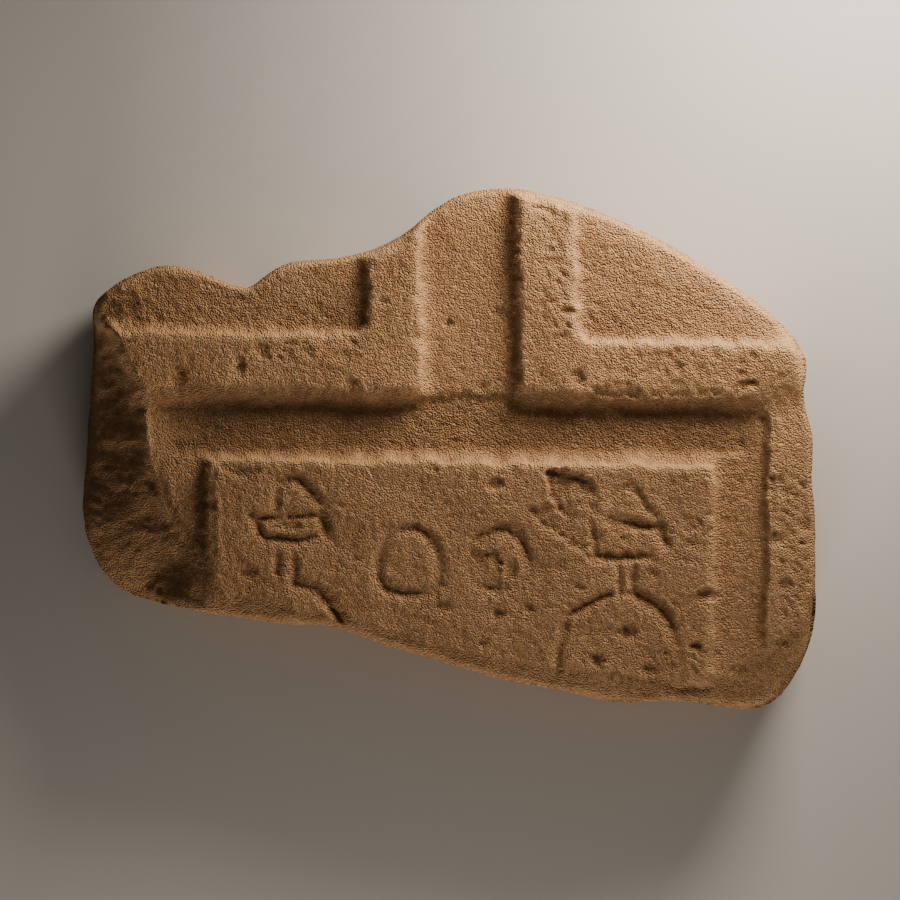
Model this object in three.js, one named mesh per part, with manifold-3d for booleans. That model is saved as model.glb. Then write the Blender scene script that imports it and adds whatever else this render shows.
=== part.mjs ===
// Fragment of a carved sandstone offering table, lying on its back with the carved face up.
// A raised band with a spout, a sunk water channel round a central panel, and on the panel two
// jars and two round loaves cut in outline. The left side and the near side are broken away.
// Millimetres, +Z up, +X to the dressed right edge, +Y to the spout, origin at the underside's centre.
import * as THREE from "three";
import { mergeVertices } from "three/addons/utils/BufferGeometryUtils.js";
import Module from "manifold-3d";

// Stone
const STONE_LENGTH = 409;
const STONE_DEPTH = 288.5;
const STONE_THICKNESS = 80;
const UNDERSIDE_CHAMFER = 6;

// Levels of the carved face, measured down from the top of the raised band
const CHANNEL_DEPTH = 8;
const FIELD_DEPTH = 6;
const PANEL_DROP = 1.5;
const BORDER_DROP = 3;
const BORDER_FALL = 4;

// Layout of the carved face, between the middles of the walls
const BORDER_WIDTH = 27.5;
const SIDE_CHANNEL_WIDTH = 25;
const LEFT_CHANNEL_WIDTH = 29;
const HEAD_CHANNEL_WIDTH = 29;
const PANEL_WIDTH = 287;
const SPOUT_FROM_PANEL_RIGHT = 138;
const SPOUT_WIDTH = 46;
const LEFT_BAND_WIDTH = 41;
const RIGHT_BAND_WIDTH = 39;
const LEFT_LIP_WIDTH = 38;
const RIGHT_LIP_WIDTH = 38.5;
const BORDER_ABOVE_BAND_EDGE = 9;
const HEAD_FROM_MIDDLE = 25.5;
const CARVING_TURN_DEG = -0.8;
const SPOUT_LEAN_DEG = 2;

// Walls of the sunk parts
const WALL_RUN = 8;
const FIELD_WALL_RUN = 8;
const ARRIS_WEAR = 2.5;
const TIGHTEST_CORNER = 2;

// Cut outlines on the panel
const GROOVE_WIDTH = 5.5;
const GROOVE_DEPTH = 2.6;

// Loaves: centres across and along the panel from its top right corner
const LOAF_DIAMETERS = [36, 33];
const LOAF_FROM_PANEL_RIGHT = [173, 123];
const LOAF_FROM_PANEL_TOP = 58;

// Jars: each stroke from the jar's own axis, in the panel's length and down from its top edge.
// A domed stopper, the four sides of the cup it sits in, two sides of the neck, and the body.
const JAR_FROM_PANEL_RIGHT = [53, 239.5];
const JAR_STROKES = [
  [
    [[-12, 31], [-9, 18.5], [0.5, 12.7], [5, 15.4], [7.7, 22.5], [11.5, 28.5]],
    [[-10.5, 33.5], [1.7, 35.8], [11.5, 36.9], [20.4, 37.6]],
    [[20, 38], [22.5, 49.5]],
    [[-19.8, 54.7], [12.7, 54.7]],
    [[-19.2, 41], [-18.2, 54]],
    [[-3.8, 58], [-3.6, 74.5]],
    [[4.4, 61], [4.4, 75.5]],
    [[-8.3, 74.3], [-25.9, 83.6], [-33, 87.5], [-35.8, 95.2], [-36.9, 105], [-36.9, 116]],
    [[3.9, 75.4], [12.7, 79.8], [19.8, 85.3], [24.8, 91.9], [27.5, 104], [26.4, 119]],
  ],
  [
    [[-5.5, 29.2], [-5.5, 22.6], [-2.2, 16], [5, 13.2], [10.5, 14.9], [14.3, 20.4], [17.6, 26.4]],
    [[-19.3, 33.6], [-6.6, 35.2], [7.2, 34.7], [22.6, 34.1]],
    [[-18.2, 34.1], [-13.8, 45.1]],
    [[-13.2, 46.2], [-1.1, 46.8], [7.2, 47.9], [16, 45.1]],
    [[20, 35.8], [22.6, 44.6]],
    [[-3.3, 40.6], [8.8, 40.6]],
    [[-5, 56.1], [-5, 66.6]],
    [[4.4, 54.5], [5, 72.1]],
    [[5, 72.1], [13.2, 72.6], [19.3, 75.9], [25.3, 82], [30.3, 89.1], [33, 97]],
  ],
];

// How finely curves are cut into flats
const RING_POINTS = 128;
const FACE_POINTS = 4 * RING_POINTS;
const WALL_STEPS = 4;
const CORNER_STEPS = 3;
const GROOVE_SIDES = 8;
const LOAF_STEPS = 32;
const STEPS_PER_POINT = 2;
const SCAR_DETAIL = 2;

const MERGE_WITHIN = 1e-4;
const CLEARANCE_ABOVE = 30;
const FAR = STONE_LENGTH + STONE_DEPTH;

// Widest outline of the stone, from the upper left corner round by the spout
const GIRTH = [
  [-198.5, 84], [-174, 100.5], [-153, 105], [-129, 97], [-114, 92], [-104, 98.5], [-94, 105.5],
  [-59, 110], [-32, 119], [-5, 139.5], [10, 146], [44, 147], [84.5, 134.5], [139, 106],
  [178.5, 77.5], [194.5, 60], [198.5, 48], [196, 37], [201.5, 8], [201, -16], [203, -45],
  [203, -77], [202.5, -99], [192, -127], [182, -140.5], [168, -145.5], [133, -140.5],
  [86, -140], [61, -133.5], [27, -127.5], [0, -119.5], [-36, -108.5], [-64, -98.5],
  [-94, -96.5], [-139, -89.5], [-183, -80.5], [-197, -69], [-207, -46], [-208.5, -30],
  [-206, 6], [-202, 64],
];

// Edge of the carved face, inside the widest outline by the run of the breaks
const FACE_EDGE = [
  [-190, 81], [-171, 96], [-154, 100.5], [-129, 93], [-114, 87.5], [-104, 90], [-92, 98.5],
  [-58, 104], [-28, 115], [-3, 134], [11, 140], [41, 141], [82, 130], [137, 100.5],
  [177, 72], [189.5, 58], [193, 48], [190, 36], [195, 11], [196, -27], [198, -77],
  [196.5, -91], [189, -105], [176, -113], [156, -123], [137, -129], [93, -124.5],
  [60, -120.5], [27, -116], [5, -112], [-28, -102], [-61, -93], [-105, -83],
  [-135, -76], [-138, -52], [-149, -30], [-158, -8], [-164, 18], [-171, 32],
  [-178, 49], [-189, 69],
];

// Spalls and chips that show from a step away: centre, length, width, depth, turn in degrees, and
// how far the face they are in lies below the band
const SCAR_TILT_DEG = 7;
const SCAR_RAGGEDNESS = 0.22;
const SCAR_WAVES = [4, 3];
const SCARS = [
  [68.5, -14.5, 31, 14, 3, -10, PANEL_DROP],
  [52, -34, 46, 17, 2.2, -42, PANEL_DROP],
  [76, -31, 20, 24, 2.4, 0, PANEL_DROP],
  [-118, -9, 24, 8, 1.8, -20, PANEL_DROP],
  [60, 124, 34, 13, 3, -40, 0],
  [42, 97, 12, 12, 2.6, 0, 0],
  [-61, 54, 28, 10, 1.8, -35, 0],
  [94, 34, 24, 9, 2.2, 0, 0],
  [160, 34, 26, 9, 2.6, 30, 0],
  [182, 38, 20, 7, 1.6, 0, 0],
];

// Sections of the sides: how far out from the face's edge to the widest outline, and the height as
// a share of the thickness. Most of the way round the stone has a worn shoulder and then drops.
const WORN_SECTION = [
  [0, 1], [0.03, 0.975], [0.5, 0.955], [0.8, 0.93], [0.95, 0.88], [1, 0.78], [1, 0.4], [0.98, 0.16],
];

// The breaks, by angle round the stone from +X: a long slant on the left, a deep chip on a corner
const BREAK_BLEND_DEG = 8;
const BREAKS = [
  {
    from: 156,
    to: 212,
    section: [
      [0, 1], [0.12, 0.965], [0.2, 0.88], [0.36, 0.74], [0.6, 0.58], [0.85, 0.44], [1, 0.3], [1, 0.16],
    ],
  },
  {
    from: 311,
    to: 342,
    section: [
      [0, 1], [0.05, 0.93], [0.14, 0.872], [0.5, 0.845], [0.85, 0.79], [1, 0.68], [1, 0.4], [0.98, 0.16],
    ],
  },
];

const wasm = await Module();
wasm.setup();

// A closed geometry as a solid, without its collapsed triangles
function solidOf(geometry) {
  const bare = geometry.clone();
  bare.deleteAttribute("normal");
  bare.deleteAttribute("uv");
  const merged = mergeVertices(bare, MERGE_WITHIN);
  const corners = merged.index.array;
  const kept = [];
  for (let i = 0; i < corners.length; i += 3) {
    const [a, b, c] = corners.slice(i, i + 3);
    if (a !== b && b !== c && c !== a) kept.push(a, b, c);
  }
  return new wasm.Manifold(
    new wasm.Mesh({
      numProp: 3,
      vertProperties: merged.attributes.position.array,
      triVerts: new Uint32Array(kept),
    }),
  );
}

function geometryOf(solid) {
  const mesh = solid.getMesh();
  const geometry = new THREE.BufferGeometry();
  geometry.setAttribute("position", new THREE.BufferAttribute(mesh.vertProperties, 3));
  geometry.setIndex(new THREE.BufferAttribute(mesh.triVerts, 1));
  geometry.computeVertexNormals();
  return geometry;
}

// A closed smooth outline through the points, drawn to the stone's length and depth
function outlineCurve(points) {
  const xs = GIRTH.map((p) => p[0]);
  const ys = GIRTH.map((p) => p[1]);
  const [left, right, near, far] = [Math.min(...xs), Math.max(...xs), Math.min(...ys), Math.max(...ys)];
  const across = STONE_LENGTH / (right - left);
  const along = STONE_DEPTH / (far - near);
  const fitted = points.map(
    ([x, y]) => new THREE.Vector3((x - (left + right) / 2) * across, (y - (near + far) / 2) * along, 0),
  );
  return new THREE.CatmullRomCurve3(fitted, true, "centripetal");
}

// Distance from the middle to a closed outline in the direction of an angle
function radiusAt(outline, angle) {
  const along = new THREE.Vector2(Math.cos(angle), Math.sin(angle));
  let radius = 0;
  outline.forEach((p, i) => {
    const q = outline[(i + 1) % outline.length];
    const sideP = along.x * p.y - along.y * p.x;
    const sideQ = along.x * q.y - along.y * q.x;
    if (sideP > 0 === sideQ > 0) return;
    const share = sideP / (sideP - sideQ);
    const reach = along.x * (p.x + (q.x - p.x) * share) + along.y * (p.y + (q.y - p.y) * share);
    radius = Math.max(radius, reach);
  });
  return radius;
}

// One row of the side's section at an angle: worn, or taken over by the break that is there
function sectionAt(row, angle) {
  const degrees = THREE.MathUtils.euclideanModulo(THREE.MathUtils.radToDeg(angle), 360);
  return BREAKS.reduce((point, { from, to, section }) => {
    const begun = THREE.MathUtils.smoothstep(degrees, from, from + BREAK_BLEND_DEG);
    const ended = THREE.MathUtils.smoothstep(degrees, to - BREAK_BLEND_DEG, to);
    return point.map((value, i) => THREE.MathUtils.lerp(value, section[row][i], begun - ended));
  }, WORN_SECTION[row]);
}

// Distance between two corners of a list of coordinates
function gap(positions, a, b) {
  const ends = [a, b].map((i) => new THREE.Vector3().fromArray(positions, 3 * i));
  return ends[0].distanceTo(ends[1]);
}

// The uncarved block: flat underside and top, with the broken sides lofted between the outlines
function stoneBlock() {
  const girth = outlineCurve(GIRTH).getSpacedPoints(RING_POINTS).slice(0, RING_POINTS).reverse();
  const face = outlineCurve(FACE_EDGE).getSpacedPoints(FACE_POINTS);
  const rings = [];
  for (const row of WORN_SECTION.keys()) {
    rings.push(
      girth.map((p) => {
        const angle = Math.atan2(p.y, p.x);
        const inner = radiusAt(face, angle);
        const [out, share] = sectionAt(row, angle);
        const radius = inner + (Math.hypot(p.x, p.y) - inner) * out;
        return [radius * Math.cos(angle), radius * Math.sin(angle), share * STONE_THICKNESS];
      }),
    );
  }
  const foot = 1 - UNDERSIDE_CHAMFER / (STONE_DEPTH / 2);
  rings.push(girth.map((p) => [p.x * foot, p.y * foot, 0]));

  const positions = rings.flat(2);
  const top = positions.push(0, 0, STONE_THICKNESS) / 3 - 1;
  const bottom = positions.push(0, 0, 0) / 3 - 1;
  const last = (rings.length - 1) * RING_POINTS;
  const faces = [];
  for (let i = 0; i < RING_POINTS; i++) {
    const next = (i + 1) % RING_POINTS;
    faces.push(top, i, next);
    faces.push(bottom, last + next, last + i);
    for (let row = 0; row < last; row += RING_POINTS) {
      const [a, b] = [row + i, row + next];
      const [c, d] = [a + RING_POINTS, b + RING_POINTS];
      if (gap(positions, a, d) < gap(positions, b, c)) faces.push(a, c, d, a, d, b);
      else faces.push(a, c, b, b, c, d);
    }
  }
  const geometry = new THREE.BufferGeometry();
  geometry.setAttribute("position", new THREE.Float32BufferAttribute(positions, 3));
  geometry.setIndex(faces);
  return solidOf(geometry);
}

// A polygon drawn at the middle of its walls, with corners that stay round at their foot and top
function roundedShape(corners, wallRun) {
  const leg = (TIGHTEST_CORNER + wallRun / 2) * Math.SQRT2;
  const shape = new THREE.Shape();
  corners.forEach(([x, y], i) => {
    const corner = new THREE.Vector2(x, y);
    const [before, after] = [corners.at(i - 1), corners[(i + 1) % corners.length]].map((end) =>
      new THREE.Vector2(...end).sub(corner).setLength(leg).add(corner),
    );
    if (i === 0) shape.moveTo(before.x, before.y);
    else shape.lineTo(before.x, before.y);
    shape.quadraticCurveTo(corner.x, corner.y, after.x, after.y);
  });
  shape.closePath();
  return shape;
}

// What is cut out of a sunk part: a flat floor, a coved wall and a worn arris at the top
function sunkPart(corners, depth, wallRun, arrisDepth) {
  const shape = roundedShape(corners, wallRun);
  const deep = new THREE.ExtrudeGeometry(shape, {
    depth: CLEARANCE_ABOVE,
    bevelThickness: depth,
    bevelSize: wallRun,
    bevelOffset: -wallRun / 2,
    bevelSegments: WALL_STEPS,
    curveSegments: CORNER_STEPS,
  });
  const worn = new THREE.ExtrudeGeometry(shape, {
    depth: CLEARANCE_ABOVE,
    bevelThickness: arrisDepth,
    bevelSize: 2 * ARRIS_WEAR,
    bevelOffset: wallRun / 2 - ARRIS_WEAR,
    bevelSegments: 1,
    curveSegments: CORNER_STEPS,
  });
  return solidOf(deep).add(solidOf(worn));
}

// The carving is set out from the panel: u runs right from the spout's axis and v runs up from
// the band's lower edge
const panelRight = SPOUT_FROM_PANEL_RIGHT;
const panelLeft = panelRight - PANEL_WIDTH;
const panelTop = -HEAD_CHANNEL_WIDTH;
const channelRight = panelRight + SIDE_CHANNEL_WIDTH;
const channelLeft = panelLeft - LEFT_CHANNEL_WIDTH;
const half = SPOUT_WIDTH / 2;
const lean = (height) => -height * Math.tan(THREE.MathUtils.degToRad(SPOUT_LEAN_DEG));

function channel() {
  return sunkPart(
    [
      [-half, 0], [channelLeft, 0], [channelLeft, -FAR], [panelLeft, -FAR], [panelLeft, panelTop],
      [panelRight, panelTop], [panelRight, -FAR], [channelRight, -FAR], [channelRight, 0],
      [half, 0], [half + lean(STONE_DEPTH), STONE_DEPTH], [-half + lean(STONE_DEPTH), STONE_DEPTH],
    ],
    CHANNEL_DEPTH,
    WALL_RUN,
    ARRIS_WEAR,
  );
}

// The low fields outside the band, left and right of the spout
function fields() {
  const leftLip = -half - LEFT_LIP_WIDTH;
  const rightLip = half + RIGHT_LIP_WIDTH;
  const left = [
    [leftLip, LEFT_BAND_WIDTH],
    [leftLip + lean(STONE_DEPTH), STONE_DEPTH],
    [-FAR, STONE_DEPTH],
    [-FAR, LEFT_BAND_WIDTH],
  ];
  const right = [
    [rightLip, RIGHT_BAND_WIDTH],
    [FAR, RIGHT_BAND_WIDTH],
    [FAR, STONE_DEPTH],
    [rightLip + lean(STONE_DEPTH), STONE_DEPTH],
  ];
  return [left, right].map((corners) => sunkPart(corners, FIELD_DEPTH, FIELD_WALL_RUN, ARRIS_WEAR));
}

// The panel and the worn right border stand lower than the band
function panelCut() {
  const geometry = new THREE.BoxGeometry(PANEL_WIDTH + WALL_RUN, FAR, CLEARANCE_ABOVE);
  const upper = panelTop + WALL_RUN / 2;
  geometry.translate((panelLeft + panelRight) / 2, upper - FAR / 2, CLEARANCE_ABOVE / 2 - PANEL_DROP);
  return solidOf(geometry);
}

function borderCut() {
  const geometry = new THREE.BoxGeometry(2 * BORDER_WIDTH, FAR, CLEARANCE_ABOVE);
  geometry.translate(BORDER_WIDTH, BORDER_ABOVE_BAND_EDGE - FAR / 2, CLEARANCE_ABOVE / 2);
  geometry.rotateY(Math.atan(BORDER_FALL / BORDER_WIDTH));
  geometry.translate(channelRight - WALL_RUN / 2, 0, -BORDER_DROP);
  return solidOf(geometry);
}

// A round-bottomed groove along a curve that lies in the panel's face
const grooveRadius = (GROOVE_WIDTH ** 2 / 4 + GROOVE_DEPTH ** 2) / (2 * GROOVE_DEPTH);
const grooveLift = grooveRadius - GROOVE_DEPTH - PANEL_DROP;

function groove(points) {
  const path = new THREE.CatmullRomCurve3(
    points.map(([x, y]) => new THREE.Vector3(x, y, grooveLift)),
    false,
    "centripetal",
  );
  const geometry = new THREE.ExtrudeGeometry(new THREE.Shape().absarc(0, 0, grooveRadius, 0, 2 * Math.PI), {
    steps: points.length > 2 ? STEPS_PER_POINT * (points.length - 1) : 1,
    extrudePath: path,
    curveSegments: GROOVE_SIDES / 2,
    bevelEnabled: false,
  });
  return solidOf(geometry);
}

function loaves() {
  return LOAF_DIAMETERS.map((diameter, i) => {
    const geometry = new THREE.TorusGeometry(diameter / 2, grooveRadius, GROOVE_SIDES, LOAF_STEPS);
    geometry.translate(panelRight - LOAF_FROM_PANEL_RIGHT[i], panelTop - LOAF_FROM_PANEL_TOP, grooveLift);
    return solidOf(geometry);
  });
}

function jars() {
  return JAR_STROKES.flatMap((strokes, i) => {
    const axis = panelRight - JAR_FROM_PANEL_RIGHT[i];
    const onPanel = ([across, down]) => [axis + across, panelTop - down];
    return strokes.map((stroke) => groove(stroke.map(onPanel)));
  });
}

// A ball whose surface wanders in and out, so that what it cuts is not an even oval
function raggedBall() {
  const geometry = new THREE.IcosahedronGeometry(1, SCAR_DETAIL);
  const position = geometry.attributes.position;
  for (let i = 0; i < position.count; i++) {
    const point = new THREE.Vector3().fromBufferAttribute(position, i);
    const [wave, cross] = SCAR_WAVES;
    const swell = 1 + SCAR_RAGGEDNESS * Math.sin(wave * point.x + 1) * Math.cos(cross * (point.x + point.y));
    position.setXYZ(i, point.x * swell, point.y * swell, point.z);
  }
  return geometry;
}

function scars() {
  return SCARS.map(([x, y, length, width, depth, turn, drop]) => {
    const geometry = raggedBall();
    geometry.scale(length / 2, width / 2, depth);
    geometry.rotateX(THREE.MathUtils.degToRad(SCAR_TILT_DEG));
    geometry.rotateZ(THREE.MathUtils.degToRad(turn));
    geometry.translate(x, y, STONE_THICKNESS - drop);
    return solidOf(geometry);
  });
}

function carving() {
  return wasm.Manifold.union([channel(), ...fields(), panelCut(), borderCut(), ...loaves(), ...jars()]);
}

const placed = new THREE.Object3D();
placed.position.set(STONE_LENGTH / 2 - BORDER_WIDTH - channelRight, HEAD_FROM_MIDDLE, STONE_THICKNESS);
placed.rotation.z = THREE.MathUtils.degToRad(CARVING_TURN_DEG);
placed.updateMatrix();

const cuts = [carving().transform(placed.matrix.toArray()), ...scars()];
const carved = stoneBlock().subtract(wasm.Manifold.union(cuts));

const sandstone = new THREE.MeshStandardMaterial({ color: 0xb98f66, roughness: 0.95, metalness: 0 });
const slab = new THREE.Mesh(geometryOf(carved), sandstone);
slab.name = "offering_table_slab";
slab.geometry.computeBoundingBox();
const middle = slab.geometry.boundingBox.getCenter(new THREE.Vector3());
slab.position.set(-middle.x, -middle.y, 0);

const offeringTable = new THREE.Group();
offeringTable.add(slab);

export default offeringTable;
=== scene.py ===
import math

import bpy
import numpy as np
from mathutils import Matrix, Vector, noise
from mathutils.bvhtree import BVHTree
from mathutils.geometry import delaunay_2d_cdt


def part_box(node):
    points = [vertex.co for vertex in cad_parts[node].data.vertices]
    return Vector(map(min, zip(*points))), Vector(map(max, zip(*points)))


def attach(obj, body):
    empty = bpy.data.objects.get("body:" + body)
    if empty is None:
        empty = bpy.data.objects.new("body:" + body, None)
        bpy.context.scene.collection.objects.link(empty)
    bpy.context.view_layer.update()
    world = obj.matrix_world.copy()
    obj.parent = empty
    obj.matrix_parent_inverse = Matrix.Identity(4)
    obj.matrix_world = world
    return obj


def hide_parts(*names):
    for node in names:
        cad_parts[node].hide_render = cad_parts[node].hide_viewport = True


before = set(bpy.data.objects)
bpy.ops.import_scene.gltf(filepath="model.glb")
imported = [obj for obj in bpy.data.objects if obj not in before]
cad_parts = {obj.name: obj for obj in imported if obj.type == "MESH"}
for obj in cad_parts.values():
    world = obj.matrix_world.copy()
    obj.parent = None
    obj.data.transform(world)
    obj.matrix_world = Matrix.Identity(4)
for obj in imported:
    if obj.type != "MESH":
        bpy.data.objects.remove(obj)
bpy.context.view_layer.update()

# The slab: one piece of coarse sandstone, carved on its upper face and broken away on the left and
# the near side. Its form is read off the solid by rays, on a fine grid that then takes the hand
# of the carver and the wear of the stone: rounded arrises, cut lines, pits, flakes and sand grain.
CELL = 0.0005
MARGIN_CELLS = 16
low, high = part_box("offering_table_slab")
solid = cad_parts["offering_table_slab"].data
rays = BVHTree.FromPolygons([v.co for v in solid.vertices], [p.vertices for p in solid.polygons])
down = Vector((0, 0, -1))
above = high.z + 0.01

columns = math.ceil((high.x - low.x) / CELL) + 2 * MARGIN_CELLS
rows = math.ceil((high.y - low.y) / CELL) + 2 * MARGIN_CELLS
grid_x = low.x + CELL * (np.arange(columns) - MARGIN_CELLS)
grid_y = low.y + CELL * (np.arange(rows) - MARGIN_CELLS)
across, along = np.meshgrid(grid_x, grid_y)
height = np.zeros((rows, columns))
for row, y in enumerate(grid_y):
    for column, x in enumerate(grid_x):
        hit = rays.ray_cast(Vector((x, y, above)), down)[0]
        if hit:
            height[row, column] = hit.z
covered = height > 0
waves_x = np.fft.rfftfreq(columns, CELL)[None, :]
waves_y = np.fft.fftfreq(rows, CELL)[:, None]


def blurred(field, width):
    """The field under a Gaussian blur of a width in metres."""
    soften = np.exp(-2 * (math.pi * width) ** 2 * (waves_x**2 + waves_y**2))
    return np.fft.irfft2(np.fft.rfft2(field) * soften, field.shape)


def roughness(seed, size, stretch=1.0):
    """Noise of mean 0 and spread 1, with lumps of a size in metres, drawn out along the slab."""
    random = np.random.default_rng(seed).standard_normal((rows, columns))
    reach = (waves_x * size * stretch) ** 2 + (waves_y * size) ** 2
    field = np.fft.irfft2(np.fft.rfft2(random) * reach * np.exp(-2.2 * reach), random.shape)
    return (field - field.mean()) / field.std()


def layers(*noises):
    """Layers of roughness in one. Each has its height, seed and size, and may be drawn out."""
    return sum(amount * roughness(seed, size, *stretch) for amount, seed, size, *stretch in noises)


def ramp(value, start, full):
    """How far a value is on its way from start to full, as 0 to 1."""
    return np.clip((value - start) / (full - start), 0, 1)


def sampled(field, x, y):
    """The field's value at points between the grid's own, by linear weights."""
    column = np.clip((x - grid_x[0]) / CELL, 0, columns - 1.001)
    row = np.clip((y - grid_y[0]) / CELL, 0, rows - 1.001)
    left, lower = column.astype(int), row.astype(int)
    right_share, upper_share = column - left, row - lower
    lower_mix = field[lower, left] * (1 - right_share) + field[lower, left + 1] * right_share
    upper_mix = field[lower + 1, left] * (1 - right_share) + field[lower + 1, left + 1] * right_share
    return lower_mix * (1 - upper_share) + upper_mix * upper_share


def near_stone(width):
    """The share of the surroundings, within a width, that the stone covers."""
    return blurred(covered.astype(float), width)


def over_stone(field, width):
    """A blur that takes nothing from beside the stone."""
    weight = near_stone(width)
    return np.where(weight > 0.02, blurred(field * covered, width) / np.maximum(weight, 0.02), 0)


def ranked(field, cells, pick):
    """The highest or lowest value within a square of cells either way."""
    for axis in (0, 1):
        field = pick([np.roll(field, step, axis) for step in range(-cells, cells + 1)], axis=0)
    return field


# Places on the carved face are read off the photograph, where one picture point is 0.55 mm of stone
PICTURE_POINT = 0.00055
MIDDLE_X, MIDDLE_Y = 446.5, 450.5
MILLIMETRE = 0.001


def spot(picture_x, picture_y):
    """Where a place of the photograph lies on the slab."""
    return (picture_x - MIDDLE_X) * PICTURE_POINT, (MIDDLE_Y - picture_y) * PICTURE_POINT


# The cut lines and the scars are filled first, to be cut again finer, and the arrises worn round
CUT_CELLS = 17
DEEPEST_CUT = 0.0035
FINE_WEAR = 0.0006
BROAD_WEAR = 0.0018
LEFT_STANDING = 0.0002
filled = ranked(ranked(height, CUT_CELLS, np.max), CUT_CELLS, np.min)
inland = ramp(near_stone(0.003), 0.8, 1.0)
form = np.where((inland > 0.999) & (filled - height < DEEPEST_CUT), filled, height)
form = np.minimum(over_stone(form, FINE_WEAR), over_stone(form, BROAD_WEAR) + LEFT_STANDING)

# Walls that face the right far corner, and the border's, stand steeper than the solid has them
FACING_X, FACING_Y = -0.57, -0.82
STEEPENING = 0.7
WALL_CELLS = 7
fall_y, fall_x = np.gradient(over_stone(form, 0.0012), CELL)
border_wall = (across > 0.160) & (across < 0.185) & (along < 0.024)
facing = ramp(FACING_X * fall_x + FACING_Y * fall_y, 0, 0.3)
# The walls that face the lamp, kept to be painted lighter: painted light
lamp_facing_walls = blurred(facing, 0.0012)
facing = blurred(np.maximum(facing, 2.0 * border_wall), 0.001)
lowest = ranked(form, WALL_CELLS, np.min)
highest = ranked(form, WALL_CELLS, np.max)
crisp = np.clip(form + STEEPENING * (form - over_stone(form, 0.003)), lowest, highest)
form = form + facing * np.where(covered, crisp - form, 0)

# The head channel's far wall is worn the most
CHANNEL_FAR_ROW, CHANNEL_NEAR_ROW, PANEL_TOP_ROW = 392, 458, 440
channel_far = spot(0, CHANNEL_FAR_ROW)[1]
worn_wall = ramp(fall_y, 0, 0.25) * (abs(along - channel_far) < 0.012)
form = form + blurred(worn_wall, 0.002) * np.where(covered, over_stone(form, 0.0040) - form, 0)

# Places near the rim are worn down into smooth slopes: their middle and their size
WORN_PLACES = [((783, 390), 0.020), ((793, 652), 0.022), ((742, 668), 0.024), ((180, 578), 0.036)]
smooth = over_stone(form, 0.0055)
for place, size in WORN_PLACES:
    x, y = spot(*place)
    share = ramp(np.hypot(across - x, along - y), 0.96 * size, 0.36 * size)
    form = form + blurred(share, 0.002) * np.where(covered, smooth - form, 0)

# The channel beside the panel's left edge is shallower
FLOOR_CELLS = 8
RAISED_BY = 0.0013
left_channel = ramp(across, -0.122, -0.128) * ramp(along, -0.006, -0.016)
raised = np.clip(ranked(form, FLOOR_CELLS, np.min) + RAISED_BY - form, 0, None)
form = form + blurred(raised * left_channel * inland, 0.0005)

# The head channel is dished, and gets deeper towards the panel
DISH_DEPTH, DISH_FALL = 0.0021, 0.0012
channel_near = spot(0, CHANNEL_NEAR_ROW)[1]
sunk = ramp(form, high.z - 0.004, high.z - 0.006)
within = ramp(np.minimum(channel_far - along, along - channel_near), 0, 0.004)
tilt = ramp(along, channel_far, channel_near)
ends = ramp(np.minimum(across + 0.160, 0.172 - across), 0, 0.01)
form = form - blurred(sunk * within * ends * (DISH_DEPTH + DISH_FALL * tilt), 0.0014)

# The panel falls towards the near side, and the upper right field is worn down towards its rim
PANEL_FALL = 0.024
FIELD_RIM_WEAR = 0.0034
panel_top = spot(0, PANEL_TOP_ROW)[1]
form = form - PANEL_FALL * np.clip(panel_top - along, 0, None)
edge_near = ramp(near_stone(0.009), 0.97, 0.5)
far_part = ramp(along, 0.04, 0.06) * ramp(across, -0.02, 0.02)
form = form - FIELD_RIM_WEAR * edge_near * far_part

# The far rim is rounded over
FAR_RIM_WEAR = 0.0022
rounded = ramp(near_stone(0.0035), 0.95, 0.5) ** 1.3 * ramp(along, 0.03, 0.05)
form = form - FAR_RIM_WEAR * rounded

# Hand-cut edges wander a little
wander_x = layers((0.00045, 11, 0.016), (0.00018, 12, 0.006))
wander_y = layers((0.0005, 13, 0.016), (0.00018, 14, 0.006))
form = sampled(form, across + wander_x * inland, along + wander_y * inland)


def part_of_grid(x, y, reach):
    """The rows and columns of the grid within reach of some points."""
    first_column, last_column = np.searchsorted(grid_x, (np.min(x) - reach, np.max(x) + reach))
    first_row, last_row = np.searchsorted(grid_y, (np.min(y) - reach, np.max(y) + reach))
    return slice(first_row, last_row), slice(first_column, last_column)


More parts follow.
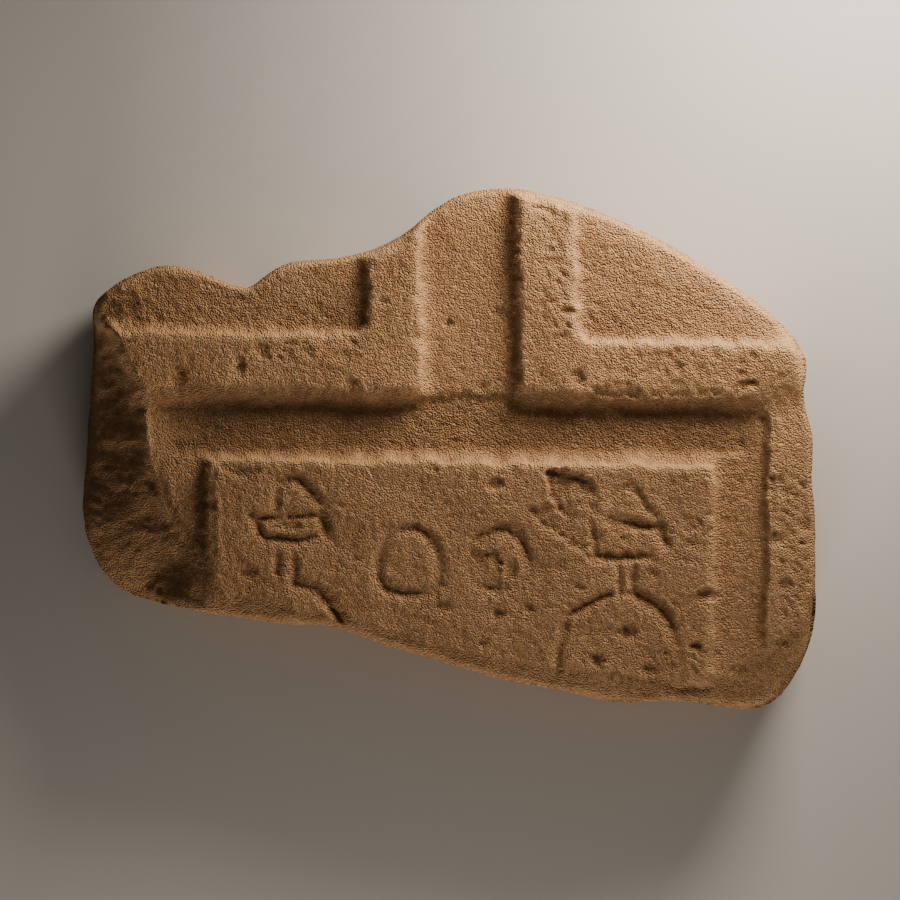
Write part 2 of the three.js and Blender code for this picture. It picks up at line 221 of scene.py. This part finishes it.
# Cut lines: depth and half width in millimetres, then spots with their share of the depth. They are
# cut a little wider than noted, and flare towards the face
CUT_LINES = [
    # The left jar's stopper, cup, neck and shoulder
    (2.4, 4.8, [
        (279, 485, 0.6), (290, 480, 0.8), (299, 481.5, 1), (306, 487, 1), (312, 494, 1),
        (318, 501, 0.9), (324, 509, 0.6),
    ]),
    (1.5, 3.4, [(281, 484, 0.6), (277, 492, 1), (276.5, 501, 1), (276, 511, 0.8)]),
    (2.3, 3.6, [
        (250, 514, 0.7), (258, 519.5, 1), (268, 519.5, 1), (283, 519, 0.5), (297, 518, 0.9),
        (310, 516.5, 1), (323, 517, 1),
    ]),
    (2.6, 4.2, [(254, 518, 0.8), (258, 527, 1), (261, 535, 1), (267, 540, 1)]),
    (2.5, 3.9, [
        (267, 540, 1), (280, 539.5, 0.9), (292, 542, 1), (301, 542, 1), (309, 539.5, 0.9),
        (316, 537, 0.6),
    ]),
    (3.2, 5.0, [(321, 517, 0.8), (324, 524, 1), (325.5, 530, 1), (325.5, 534, 0.9)]),
    (2.1, 3.6, [(277, 556, 0.6), (277, 565, 1), (277, 573, 1)]),
    (2.2, 3.8, [(293.5, 556, 0.5), (294.5, 566, 0.9), (295, 576, 1), (295, 585, 1.1)]),
    (2.5, 5.0, [
        (295, 585, 1), (305, 587, 0.8), (313, 589, 0.9), (321, 594.5, 1), (328, 602.5, 1),
        (335, 611, 0.8), (344, 622, 0.5),
    ]),
    (0.8, 3.0, [(272, 578, 0.6), (258, 582, 1), (246, 591, 0.5)]),
    # The left loaf and the right one
    (2.3, 4.8, [
        (441, 582, 0.6), (441, 568, 0.6), (439, 557, 0.8), (436, 548.5, 1), (431, 540, 1),
        (425, 533.5, 1), (417, 529.5, 1), (405, 529.5, 0.9), (395, 532, 0.6), (387, 539, 0.4),
        (382, 549, 0.6), (379, 560, 0.9), (378, 571, 1), (379.5, 580, 1), (384, 587.5, 1),
        (392, 593, 1), (402, 595.5, 1), (413, 595, 0.8), (425, 594, 0.7), (436, 591, 0.6),
        (441, 582, 0.6),
    ]),
    (2.3, 5.0, [
        (478, 539.5, 0.8), (489, 534.5, 1), (500, 530, 1), (509, 531.5, 1), (518, 537.5, 1),
        (524, 545.5, 1), (528, 555, 0.9), (530, 567, 0.7), (528, 577, 0.4), (521, 586, 0.3),
        (511, 590, 0.4), (499, 591, 0.8), (488, 589.5, 0.9), (477, 585, 0.5), (470, 577, 0.4),
        (467, 566, 0.3), (468, 555, 0.4), (472, 546, 0.5), (478, 539.5, 0.8),
    ]),
    # The right jar's stopper, cup, neck and shoulders
    (1.7, 3.8, [
        (613, 511, 0.4), (613, 500, 0.7), (617, 491.5, 0.8), (623, 487, 0.6), (630, 486.5, 0.6),
        (636, 491, 0.8), (642, 500, 1), (648, 509, 1), (656, 517, 0.7),
    ]),
    (2.7, 4.8, [(609, 520, 0.5), (622, 523, 0.7), (636, 526.5, 1), (650, 529, 1), (663, 529, 1)]),
    (2.9, 5.6, [(660, 528, 1), (663, 536, 1), (667, 545, 0.8)]),
    (2.6, 4.0, [(593, 530, 0.8), (596, 539, 1), (595, 549, 0.9), (597, 557, 1)]),
    (2.5, 3.8, [(592, 558, 0.8), (605, 558.5, 1), (620, 559.5, 1), (636, 558, 1), (652, 558, 0.6)]),
    (2.7, 3.6, [(619.5, 566, 0.5), (620.5, 580, 1), (621, 594, 0.9)]),
    (3.0, 3.4, [(635, 569, 0.6), (633.5, 580, 1), (634, 592, 0.9)]),
    (3.0, 4.0, [(612, 595, 0.8), (603, 599, 1), (592, 604, 1), (580, 610.5, 1), (569, 617, 0.7)]),
    (2.4, 4.0, [(569, 617, 0.6), (566, 628, 1), (562, 640, 0.7), (559, 655, 1), (558, 672, 0.8)]),
    (2.8, 5.4, [
        (632, 594, 0.9), (642, 599, 1), (652, 604, 1), (661, 610.5, 1), (667.5, 619, 1), (673, 630, 1),
    ]),
    (1.9, 4.2, [(673, 630, 1), (677, 641, 0.8), (679, 652, 0.5), (681, 668, 0.5), (681, 682, 0.4)]),
]
FLARE = 1.5
LINE_SCALE = 0.00112
unsteady_x = layers((0.00022, 15, 0.005))
unsteady_y = layers((0.00022, 16, 0.005))
cut = np.zeros_like(form)
for depth, half_width, line in CUT_LINES:
    half_width *= LINE_SCALE
    for (x0, y0, share0), (x1, y1, share1) in zip(line, line[1:]):
        (x0, y0), (x1, y1) = spot(x0, y0), spot(x1, y1)
        window = part_of_grid((x0, x1), (y0, y1), half_width + 0.002)
        from_x = (across + unsteady_x)[window] - x0
        from_y = (along + unsteady_y)[window] - y0
        run_x, run_y = x1 - x0, y1 - y0
        way = np.clip((from_x * run_x + from_y * run_y) / (run_x**2 + run_y**2), 0, 1)
        aside = np.hypot(from_x - way * run_x, from_y - way * run_y)
        flank = ramp(aside, half_width, 0) ** FLARE
        depth_there = MILLIMETRE * depth * (share0 + (share1 - share0) * way)
        cut[window] = np.maximum(cut[window], depth_there * flank)
cut = blurred(cut, 0.0004)

# Pits: spot, half width and half height in picture points, depth in millimetres
PITS = [
    (352, 385, 6, 5, 1.8), (240, 368, 5, 8, 1.9), (262, 350, 6, 6, 1.6), (178, 379, 6, 10, 1.8),
    (420, 298, 5, 5, 1.5), (421, 340, 6, 7, 2.2), (449, 324, 4, 4, 1.3), (498, 312, 5, 4, 1.5),
    (483, 388, 4, 4, 1.3), (571, 313, 9, 4, 2.0), (561, 338, 7, 3, 1.6), (578, 378, 6, 7, 2.0),
    (432, 467, 6, 5, 1.5), (496, 486, 7, 5, 1.7), (708, 597, 9, 6, 2.4), (628, 634, 7, 6, 2.2),
    (598, 662, 6, 6, 2.2), (498, 616, 5, 5, 1.6), (530, 610, 5, 4, 1.5), (484, 644, 4, 4, 1.3),
    (445, 608, 7, 5, 1.4), (697, 648, 5, 4, 1.9), (249, 574, 7, 5, 1.6), (512, 571, 5, 9, 1.5),
    (580, 589, 5, 3, 1.2), (290, 526, 12, 5, 1.3), (667, 357, 6, 4, 1.0), (676, 385, 6, 4, 1.0),
    (754, 357, 5, 4, 1.0), (805, 487, 4, 4, 1.2), (308, 498, 3, 3, 0.6), (780, 490, 8, 9, 1.1),
    (776, 540, 9, 6, 1.2), (787, 586, 7, 6, 1.3), (787, 644, 6, 4, 1.4), (693, 528, 5, 3, 0.9),
    (712, 530, 6, 3, 1.0), (694, 543, 7, 4, 1.0), (712, 515, 4, 3, 0.8), (420, 482, 3, 3, 0.7),
    (625, 539, 4, 3, 0.9), (641, 535, 5, 3, 1.0), (601, 539, 4, 5, 1.2), (655, 575, 4, 4, 1.0),
    (450, 470, 3, 3, 0.6), (312, 455, 4, 3, 0.5), (590, 270, 8, 4, 0.6), (384, 302, 4, 3, 0.9),
    (620, 350, 4, 6, 0.8), (737, 350, 4, 3, 0.8), (330, 430, 4, 3, 0.5), (560, 566, 6, 4, 0.7),
    (540, 570, 5, 4, 0.8), (388, 583, 5, 4, 0.9), (650, 672, 8, 4, 1.5), (676, 668, 6, 4, 1.4),
    (690, 560, 6, 3, 0.7), (236, 520, 3, 3, 0.6), (340, 505, 4, 3, 0.5), (740, 672, 9, 4, 1.2),
    (356, 560, 4, 3, 0.5), (471, 479, 4, 3, 0.7), (655, 366, 7, 3, 0.7), (700, 366, 7, 4, 0.8),
    (553, 262, 7, 4, 1.0), (600, 305, 7, 3, 0.6), (790, 530, 3, 3, 0.7), (807, 527, 6, 6, 1.2),
    (132, 305, 5, 4, 1.2), (158, 320, 6, 4, 0.9),
]
PIT_WIDENING = 1.25
PIT_SCALE = 0.00088
uneven = roughness(17, 0.0035)
pits = np.zeros_like(form)
for picture_x, picture_y, half_x, half_y, depth in PITS:
    x, y = spot(picture_x, picture_y)
    half_x = PIT_WIDENING * half_x * PICTURE_POINT
    half_y = PIT_WIDENING * half_y * PICTURE_POINT
    window = part_of_grid(x, y, 1.6 * max(half_x, half_y))
    from_middle = np.hypot((across[window] - x) / half_x, (along[window] - y) / half_y)
    bowl = np.clip(1.15 - (0.9 * from_middle + 0.12 * uneven[window]) ** 2, 0, 1) ** 1.2
    pits[window] = np.maximum(pits[window], PIT_SCALE * depth * bowl)
pits = blurred(pits, 0.0005)

# Flakes lost from the face: their outline, the deepest spot and its depth in millimetres, the spot
# where the flake runs out, how ragged its floor is and how worn its edge, both in millimetres
FLAKES = [
    # The spall on the panel, and the deeper pocket in it beside the right jar
    ([(526, 510), (540, 508), (554, 504), (566, 502), (580, 512), (592, 528), (593, 546), (584, 554),
      (568, 544), (548, 531), (532, 515)], (548, 526), 1.6, (576, 490), 0.6, 1.0),
    ([(549, 470), (560, 470), (578, 474), (591, 480), (598, 488), (600, 500), (601, 520), (592, 528),
      (578, 525), (566, 519), (556, 508), (551, 495), (549, 480)],
     (552, 488), 3.2, (606, 500), 0.8, 0.35),
    ([(550, 471), (562, 472), (578, 476), (594, 484), (597, 500), (594, 511), (580, 505), (564, 496),
      (554, 486)], (566, 475), 4.2, (574, 512), 0.8, 0.9),
    # The arris of the left band, and below it
    ([(302, 341), (326, 335), (344, 334), (353, 340), (357, 352), (355, 366), (346, 366), (336, 360),
      (326, 354), (312, 349)], (340, 338), 1.2, (344, 366), 0.8, 0.9),
    ([(268, 343), (300, 342), (312, 350), (316, 360), (300, 358), (276, 353)],
     (300, 341), 1.0, (290, 362), 0.6, 0.7),
    ([(213, 458), (238, 459), (263, 463), (260, 475), (240, 478), (221, 471)],
     (235, 474), 1.3, (245, 455), 0.4, 0.6),
    # The right lip
    ([(531, 201), (542, 199), (553, 206), (563, 214), (572, 224), (581, 238), (583, 252), (573, 258),
      (560, 250), (550, 238), (540, 225), (530, 212)], (558, 214), 1.1, (532, 246), 0.6, 1.0),
    ([(533, 201), (546, 201), (556, 211), (562, 219), (553, 222), (541, 213)],
     (550, 205), 1.5, (536, 224), 0.5, 0.5),
    ([(561, 226), (569, 228), (577, 240), (570, 242)], (572, 230), 1.4, (560, 242), 0.4, 0.5),
    # Inside the right loaf
    ([(473, 550), (488, 552), (499, 556), (501, 570), (502, 589), (488, 591), (471, 587), (467, 570),
      (469, 557)], (488, 556), 1.6, (484, 612), 0.6, 0.5),
    ([(699, 654), (712, 650), (724, 654), (725, 669), (712, 675), (701, 671)],
     (712, 653), 1.1, (711, 684), 0.4, 0.8),
    # The lower arris of the right band
    ([(590, 388), (602, 383), (626, 383), (642, 389), (640, 397), (596, 397)],
     (616, 397), 2.2, (616, 381), 0.4, 0.7),
    ([(650, 390), (664, 385), (700, 386), (724, 390), (722, 397), (652, 397)],
     (686, 397), 1.3, (686, 382), 0.6, 0.6),
    ([(728, 396), (734, 387), (744, 382), (755, 380), (759, 385), (746, 390), (737, 398)],
     (750, 381), 1.7, (736, 404), 0.4, 0.5),
    ([(768, 377), (780, 375), (790, 379), (780, 383)], (782, 376), 0.7, (776, 388), 0.3, 0.6),
    # Small ones at the panel's left edge, on the border and on the upper left corner
    ([(203, 502), (213, 500), (217, 507), (205, 510)], (211, 503), 0.9, (203, 514), 0.2, 0.7),
    ([(768, 478), (782, 476), (792, 492), (786, 508), (770, 506)], (782, 486), 1.0, (776, 514), 0.4, 0.5),
    ([(96, 300), (118, 288), (140, 298), (132, 318), (104, 326)], (106, 312), 2.0, (140, 292), 0.6, 0.8),
]
flakes = np.zeros_like(form)
floor_lumps = layers((0.3, 18, 0.008), (0.16, 19, 0.0032))
edge_x = layers((0.0006, 31, 0.006), (0.0003, 32, 0.0025))
edge_y = layers((0.0006, 33, 0.006), (0.0003, 34, 0.0025))
for outline, deepest, depth, run_out, ragged, wear in FLAKES:
    corners = [spot(*corner) for corner in outline]
    window = part_of_grid([x for x, y in corners], [y for x, y in corners], 0.006)
    x, y = (across + edge_x)[window], (along + edge_y)[window]
    within = np.zeros(x.shape, bool)
    for (x0, y0), (x1, y1) in zip(corners, corners[1:] + corners[:1]):
        crosses = (y0 > y) != (y1 > y)
        within ^= crosses & (x < x0 + (y - y0) * (x1 - x0) / (y1 - y0 + 1e-12))
    (x0, y0), (x1, y1) = spot(*deepest), spot(*run_out)
    way = ((x - x0) * (x1 - x0) + (y - y0) * (y1 - y0)) / ((x1 - x0) ** 2 + (y1 - y0) ** 2)
    floor_depth = MILLIMETRE * (depth * (1 - way) + ragged * floor_lumps[window])
    flake = np.zeros_like(form)
    flake[window] = within * np.clip(floor_depth, 0, MILLIMETRE * depth * 1.3)
    flakes = np.maximum(flakes, blurred(flake, MILLIMETRE * wear))

# Small chips that slant across the bands and the border: middle, half width, half height
CHIPPED_PLACES = [
    ((690, 366), (92, 24)), ((562, 290), (26, 80)), ((796, 560), (20, 120)), ((300, 352), (70, 12)),
    ((120, 320), (30, 26)), ((696, 528), (26, 30)), ((690, 662), (60, 20)),
]
SLANT = math.radians(-52)
CHIP_DEPTH = 0.0007
along_chips = across * math.cos(SLANT) + along * math.sin(SLANT)
beside_chips = along * math.cos(SLANT) - across * math.sin(SLANT)
slanted = sampled(roughness(44, 0.0025, stretch=2.0), 0.7 * along_chips, 0.7 * beside_chips)
chipped = np.zeros_like(form)
for middle, (half_width, half_height) in CHIPPED_PLACES:
    x, y = spot(*middle)
    from_middle = np.hypot((across - x) / half_width, (along - y) / half_height) / PICTURE_POINT
    chipped = np.maximum(chipped, ramp(from_middle, 1, 0.6))
chips = CHIP_DEPTH * chipped * blurred(np.clip(slanted - 0.35, 0, 1.2), 0.0004)
flakes = np.maximum(flakes, chips)

# What the breaks lost: their long slopes are streaked along the slab and lumpy
slope_y, slope_x = np.gradient(blurred(form, 0.003), CELL)
steep = np.clip(1.4 * np.hypot(slope_x, slope_y) - 0.8, 0, 1)
rim = ramp(near_stone(0.012), 0.98, 0.62)
left_break = ramp(across, -0.125, -0.145)
break_face = blurred(steep * np.maximum(rim, left_break) * (0.25 + 0.75 * left_break), 0.002)
break_relief = layers((0.0003, 41, 0.007, 2.2), (0.0009, 42, 0.020, 1.4), (0.00014, 43, 0.003, 1.8))

# The weathered skin: sand grain, pecking, slow unevenness
fine_skin = layers((0.00007, 21, 0.0018), (0.0001, 22, 0.0028), (0.0001, 23, 0.005))
skin = fine_skin + layers((0.00009, 24, 0.01), (0.0003, 25, 0.04))
CUT_LEFT_IN_FLAKES = 0.25
SKIN_LOSS = 0.0005
TOP_CLEARANCE = 0.0001
worn = form - np.maximum(np.maximum(cut, pits), flakes) - CUT_LEFT_IN_FLAKES * np.minimum(cut, flakes)
worn = worn + inland * (skin + break_face * break_relief - SKIN_LOSS)
worn = np.where(covered, np.minimum(worn, high.z - TOP_CLEARANCE), worn)

# How deep each place lies below its surroundings, for painted shade in the hollows and painted
# light on raised places. Walls that face the lamp and the far rim count as raised, for painted light
DEEP_HOLLOW = 0.0012
PAINTED_LIGHT_SHARE = 0.8
shade_and_light_paint = (over_stone(worn, 0.0025) - worn) / DEEP_HOLLOW - PAINTED_LIGHT_SHARE * np.maximum(lamp_facing_walls, rounded)
shade_and_light_paint = np.clip(shade_and_light_paint, -1, 1)

# The outline: how far the stone reaches in each direction, and how high its shoulder is there
RING_POINTS = 840
SIDE_ROWS = 24
OUTSIDE = 0.4


def reach(angle, z):
    """How far the solid reaches from its upright axis, in one direction and at one height."""
    outward = Vector((math.cos(angle), math.sin(angle), 0))
    hit = rays.ray_cast(outward * OUTSIDE + Vector((0, 0, z)), -outward)[0]
    return math.hypot(hit.x, hit.y)


def loss(angle, out, z):
    """How far the weathered side lies inside the solid's: lumps drawn out level, flakes and grain."""
    x, y = out * math.cos(angle), out * math.sin(angle)
    lump = noise.noise(Vector((x * 38, y * 38, z * 80)))
    flake = noise.noise(Vector((x * 110, y * 110, z * 240 + 7)))
    grain = noise.noise(Vector((x, y, z + 3)) * 420)
    return max(0, 0.0006 + 0.0009 * lump + 0.0005 * flake + 0.00025 * grain)


def wrapped_blur(values, cells):
    """A blur of values that run round the stone and meet themselves."""
    soften = np.exp(-2 * (math.pi * cells * np.fft.rfftfreq(len(values))) ** 2)
    return np.fft.irfft(np.fft.rfft(values) * soften, len(values))


angles = np.linspace(0, 2 * math.pi, 2880, endpoint=False)
girth = np.max([[reach(a, z) for a in angles] for z in np.linspace(0.015, 0.060, 6)], axis=0)
girth = wrapped_blur(girth, 4)
steps = np.hypot(np.diff(girth, append=girth[0]), girth * (angles[1] - angles[0]))
walked = np.concatenate([[0], np.cumsum(steps)])
ring_angles = np.interp(
    np.arange(RING_POINTS) * walked[-1] / RING_POINTS, walked, np.append(angles, 2 * math.pi)
)
ring_girth = np.interp(ring_angles, angles, girth, period=2 * math.pi)
SHOULDER_INSET = 0.992
inset_x = ring_girth * SHOULDER_INSET * np.cos(ring_angles)
inset_y = ring_girth * SHOULDER_INSET * np.sin(ring_angles)
shoulder = wrapped_blur(sampled(worn, inset_x, inset_y), 2) - 0.0006
ring_out = np.array([out - loss(a, out, z) for a, out, z in zip(ring_angles, ring_girth, shoulder)])
ring_x, ring_y = ring_out * np.cos(ring_angles), ring_out * np.sin(ring_angles)


def around(angles, ring_values):
    """The values of the ring at some angles round the stone."""
    return np.interp(angles % (2 * math.pi), ring_angles, ring_values, period=2 * math.pi)


# The carved face and the shoulder as one sheet of triangles on staggered rows
SPACING = 0.00119
EDGE_CLEARANCE = 0.0009
SAME_POINT = 1e-7
sheet_x, sheet_y, from_edge = [], [], []
for i, y in enumerate(np.arange(low.y, high.y, SPACING * math.sin(math.pi / 3))):
    line = np.arange(low.x, high.x, SPACING) + (SPACING / 2 if i % 2 else 0)
    limit = around(np.arctan2(y, line), ring_out)
    inward = limit - np.hypot(line, y)
    line, inward = line[inward > EDGE_CLEARANCE], inward[inward > EDGE_CLEARANCE]
    sheet_x.append(line)
    sheet_y.append(np.full(len(line), y))
    from_edge.append(inward)
sheet_x, sheet_y, from_edge = [np.concatenate(parts) for parts in (sheet_x, sheet_y, from_edge)]

# Close to its edge the sheet bends over to meet the shoulder
BEND = 0.003
shoulder_there = around(np.arctan2(sheet_y, sheet_x), shoulder)
bent = ramp(from_edge, BEND, 0) ** 1.5
sheet_z = sampled(worn, sheet_x, sheet_y) * (1 - bent) + shoulder_there * bent

top_x = np.concatenate([ring_x, sheet_x])
top_y = np.concatenate([ring_y, sheet_y])
top_points = np.column_stack([top_x, top_y, np.concatenate([shoulder, sheet_z])])
loop = [(i, (i + 1) % RING_POINTS) for i in range(RING_POINTS)]
sheet_faces = delaunay_2d_cdt(list(zip(top_x, top_y)), loop, [], 1, SAME_POINT)[2]

# The sides, row by row down from the shoulder to the foot
side_rows = []
for row in range(1, SIDE_ROWS + 1):
    share = 1 - row / SIDE_ROWS
    ring = []
    for angle, z in zip(ring_angles, shoulder * share):
        out = reach(angle, max(z, 0.0004))
        out -= loss(angle, out, z)
        ring.append((out * math.cos(angle), out * math.sin(angle), z))
    side_rows.append(ring)
side_points = np.array(side_rows).reshape(-1, 3)
sheet_count = len(top_points)


def corner(row, i):
    """Number of the point of a side row, where row 0 is the shoulder's ring."""
    i %= RING_POINTS
    return i if row == 0 else sheet_count + (row - 1) * RING_POINTS + i


side_faces = []
for row in range(SIDE_ROWS):
    for i in range(RING_POINTS):
        a, b = corner(row, i), corner(row, i + 1)
        c, d = corner(row + 1, i), corner(row + 1, i + 1)
        side_faces += [(a, c, b), (b, c, d)]

# The underside, dressed flat, a little hollow where the pick went deeper
BED_SPACING = 0.006
foot = side_points[-RING_POINTS:]
foot_reach = np.hypot(foot[:, 0], foot[:, 1])
bed = []
for i, y in enumerate(np.arange(low.y, high.y, BED_SPACING * math.sin(math.pi / 3))):
    line = np.arange(low.x, high.x, BED_SPACING) + (BED_SPACING / 2 if i % 2 else 0)
    limit = around(np.arctan2(y, line), foot_reach)
    for x in line[np.hypot(line, y) < limit - BED_SPACING / 2]:
        lumps = noise.noise(Vector((x * 55, y * 55, 1))) + noise.noise(Vector((x * 20, y * 20, 2)))
        bed.append((x, y, max(0, 0.0005 * lumps)))
bed_flat = [(x, y) for x, y, z in foot] + [(x, y) for x, y, z in bed]
bed_faces = delaunay_2d_cdt(bed_flat, loop, [], 1, SAME_POINT)[2]
last_row = sheet_count + (SIDE_ROWS - 1) * RING_POINTS
bed_start = sheet_count + SIDE_ROWS * RING_POINTS


def bed_corner(i):
    """Number of a point of the underside, where the first ones are the foot's ring."""
    return last_row + i if i < RING_POINTS else bed_start + i - RING_POINTS


bed_faces = [tuple(bed_corner(i) for i in reversed(face)) for face in bed_faces]

points = np.concatenate([top_points, side_points, np.array(bed)])
mesh = bpy.data.meshes.new("carved_sandstone")
mesh.from_pydata(points.tolist(), [], sheet_faces + side_faces + bed_faces)
mesh.polygons.foreach_set("use_smooth", [True] * len(mesh.polygons))
# Painted shade and light for each point of the carved face, kept on the mesh for the material
shade_and_light_layer = mesh.attributes.new("shade_and_light_paint", "FLOAT", "POINT")
shade_and_light_values = np.zeros(len(points), np.float32)
shade_and_light_values[RING_POINTS:sheet_count] = sampled(shade_and_light_paint, sheet_x, sheet_y)
shade_and_light_layer.data.foreach_set("value", shade_and_light_values)
slab = bpy.data.objects.new("carved_slab", mesh)
bpy.context.scene.collection.objects.link(slab)
print("triangles", len(mesh.polygons))

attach(slab, "root")
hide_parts("offering_table_slab")


class Socket:
    """An output of a material's node. Arithmetic on it adds Math nodes to the material."""

    def __init__(self, tree, output=None):
        self.tree, self.output = tree, output

    def node(self, kind, settings, values, output=0):
        """A new node: its settings first, then the values or links of its sockets."""
        made = self.tree.nodes.new(kind)
        for name, setting in settings.items():
            setattr(made, name, setting)
        for name, value in values.items():
            if isinstance(value, Socket):
                self.tree.links.new(value.output, made.inputs[name])
            else:
                made.inputs[name].default_value = value
        return Socket(self.tree, made.outputs[output])

    def maths(self, operation, *values):
        return self.node("ShaderNodeMath", {"operation": operation}, dict(enumerate(values)))

    def __add__(self, other):
        return self.maths("ADD", self, other)

    def __radd__(self, other):
        return self.maths("ADD", other, self)

    def __sub__(self, other):
        return self.maths("SUBTRACT", self, other)

    def __rsub__(self, other):
        return self.maths("SUBTRACT", other, self)

    def __mul__(self, other):
        return self.maths("MULTIPLY", self, other)

    def __rmul__(self, other):
        return self.maths("MULTIPLY", other, self)

    def clipped(self, bottom, top):
        """How far the value is on its way from bottom to top, as 0 to 1."""
        names = {1: bottom, 2: top, 3: 0.0, 4: 1.0}
        return self.node("ShaderNodeMapRange", {"clamp": True}, {0: self, **names})

    def mixed(self, colour_a, colour_b):
        """Colour a where this is 0, colour b where it is 1."""
        values = {0: self, 6: colour_a, 7: colour_b}
        return self.node("ShaderNodeMix", {"data_type": "RGBA"}, values, 2)


# Sandstone: warm brown quartz sand, single pale and dark grains. Painted shade in the hollows and on the
# near side, painted light on raised places, on walls facing the lamp and on the far rim
stone = bpy.data.materials.new("sandstone")
stone.use_nodes = True
start = Socket(stone.node_tree)
place = start.node("ShaderNodeTexCoord", {}, {}, "Object")


def cloud(scale, detail=0.0, shift=0.0):
    """Soft noise with lumps of 1 / scale metres."""
    values = {"Vector": place, "W": shift, "Scale": scale, "Detail": detail}
    return start.node("ShaderNodeTexNoise", {"noise_dimensions": "4D"}, values)


grains = start.node("ShaderNodeTexVoronoi", {}, {"Vector": place, "Scale": 1080.0}, "Distance")
grain_tint = start.node("ShaderNodeTexVoronoi", {}, {"Vector": place, "Scale": 900.0}, "Color")
tint = start.node("ShaderNodeSeparateColor", {}, {"Color": grain_tint}, 0)
# Painted shade and light from the mesh: above 0 in hollows, below 0 on raised places and lamp-facing
# walls
shade_and_light_fac = start.node("ShaderNodeAttribute", {"attribute_name": "shade_and_light_paint"}, {}, "Fac")
patches = cloud(22.0, 3.0, 1.0)
mottling = cloud(160.0, 2.0, 2.0)
fine = cloud(1250.0, 0.0, 3.0)
coarse = cloud(800.0, 0.0, 4.0)

SAND, WARM_SAND = (0.455, 0.281, 0.168, 1), (0.525, 0.331, 0.200, 1)
# Colours of the painted shade in hollows and of the painted light on raised places and lamp-facing walls
MOTTLE, PAINTED_SHADE, PAINTED_LIGHT = (0.55, 0.34, 0.2, 1), (0.36, 0.2, 0.105, 1), (0.62, 0.41, 0.25, 1)
PALE_GRAIN, DARK_GRAIN = (0.68, 0.5, 0.34, 1), (0.3, 0.16, 0.085, 1)
BLACK = (0, 0, 0, 1)
toward_spout = start.node("ShaderNodeSeparateXYZ", {}, {"Vector": place}, 1)
body = patches.clipped(0.35, 0.65).mixed(SAND, WARM_SAND)
body = (0.45 * mottling.clipped(0.35, 0.7)).mixed(body, MOTTLE)
body = (0.5 * tint.clipped(0.86, 1.0)).mixed(body, PALE_GRAIN)
body = (0.5 * (1 - tint).clipped(0.88, 1.0)).mixed(body, DARK_GRAIN)
# Painted shade: darker in the hollows
body = (0.38 * shade_and_light_fac.clipped(0.15, 1.0)).mixed(body, PAINTED_SHADE)
# Painted light: paler on raised places, on the walls that face the lamp and on the far rim
body = (0.65 * (0 - shade_and_light_fac).clipped(0.1, 0.75)).mixed(body, PAINTED_LIGHT)
# Painted shade: the near side, further from the lamp, made up to 13 percent darker
body = (0.13 * (1 - toward_spout.clipped(-0.02, 0.05))).mixed(body, BLACK)

# The grain's relief, in millimetres when multiplied by its height
RELIEF_HEIGHT = 9.5
relief = 0.06 * fine + 0.05 * coarse - 0.12 * grains
bump_values = {"Strength": 1.0, "Distance": MILLIMETRE, "Height": relief * RELIEF_HEIGHT}
bump = start.node("ShaderNodeBump", {}, bump_values, "Normal")
shader = stone.node_tree.nodes["Principled BSDF"]
stone.node_tree.links.new(body.output, shader.inputs["Base Color"])
stone.node_tree.links.new((0.86 + 0.1 * fine).output, shader.inputs["Roughness"])
stone.node_tree.links.new(bump.output, shader.inputs["Normal"])
shader.inputs["Specular IOR Level"].default_value = 0.25
mesh.materials.append(stone)

# The floor: plain and pale
FLOOR_REACH = 3.0
floor_mesh = bpy.data.meshes.new("floor")
sides = ((-1, -1), (1, -1), (1, 1), (-1, 1))
floor_mesh.from_pydata([(x * FLOOR_REACH, y * FLOOR_REACH, 0) for x, y in sides], [], [(0, 1, 2, 3)])
floor = bpy.data.objects.new("floor", floor_mesh)
bpy.context.scene.collection.objects.link(floor)
paint = bpy.data.materials.new("pale_floor")
paint.use_nodes = True
matt = paint.node_tree.nodes["Principled BSDF"]
matt.inputs["Base Color"].default_value = (0.55, 0.54, 0.52, 1)
matt.inputs["Roughness"].default_value = 0.9
floor_mesh.materials.append(paint)

# Light: a soft lamp, low and near on the upper right, a second one further off on the near side, and
# a faint even glow. A lamp's row: name, shape, width, watts, spread in degrees, place and aim
LAMPS = [
    ("key", "DISK", 0.34, 1.95, 110, (0.34, 0.46, 0.26), (0.10, 0.10, 0.08)),
    ("fill", "SQUARE", 0.35, 4.8, 180, (-0.04, -1.0, 0.19), (0, 0, 0)),
]
LAMP_COLOUR = (1.0, 0.93, 0.84)
GLOW_COLOUR = (1, 0.95, 0.88, 1)
GLOW_STRENGTH = 0.13
for name, shape, width, watts, spread, position, aim in LAMPS:
    lamp_data = bpy.data.lights.new(name, "AREA")
    lamp_data.shape = shape
    lamp_data.size = width
    lamp_data.energy = watts
    lamp_data.spread = math.radians(spread)
    lamp_data.color = LAMP_COLOUR
    lamp = bpy.data.objects.new(name, lamp_data)
    lamp.location = position
    lamp.rotation_euler = (lamp.location - Vector(aim)).to_track_quat("Z", "Y").to_euler()
    bpy.context.scene.collection.objects.link(lamp)
world = bpy.data.worlds.new("studio")
world.use_nodes = True
world.node_tree.nodes["Background"].inputs["Color"].default_value = GLOW_COLOUR
world.node_tree.nodes["Background"].inputs["Strength"].default_value = GLOW_STRENGTH
bpy.context.scene.world = world
bpy.context.scene.view_settings.look = "AgX - High Contrast"

# Camera, straight above
CAMERA_HEIGHT = 2.5
FRAME_WIDTH = 0.495
CAMERA_X = 0.0022
camera_data = bpy.data.cameras.new("camera")
camera_data.sensor_width = 36
camera_data.lens = camera_data.sensor_width * CAMERA_HEIGHT / FRAME_WIDTH
camera = bpy.data.objects.new("camera", camera_data)
camera.location = (CAMERA_X, 0, high.z + CAMERA_HEIGHT)
bpy.context.scene.collection.objects.link(camera)
bpy.context.scene.camera = camera
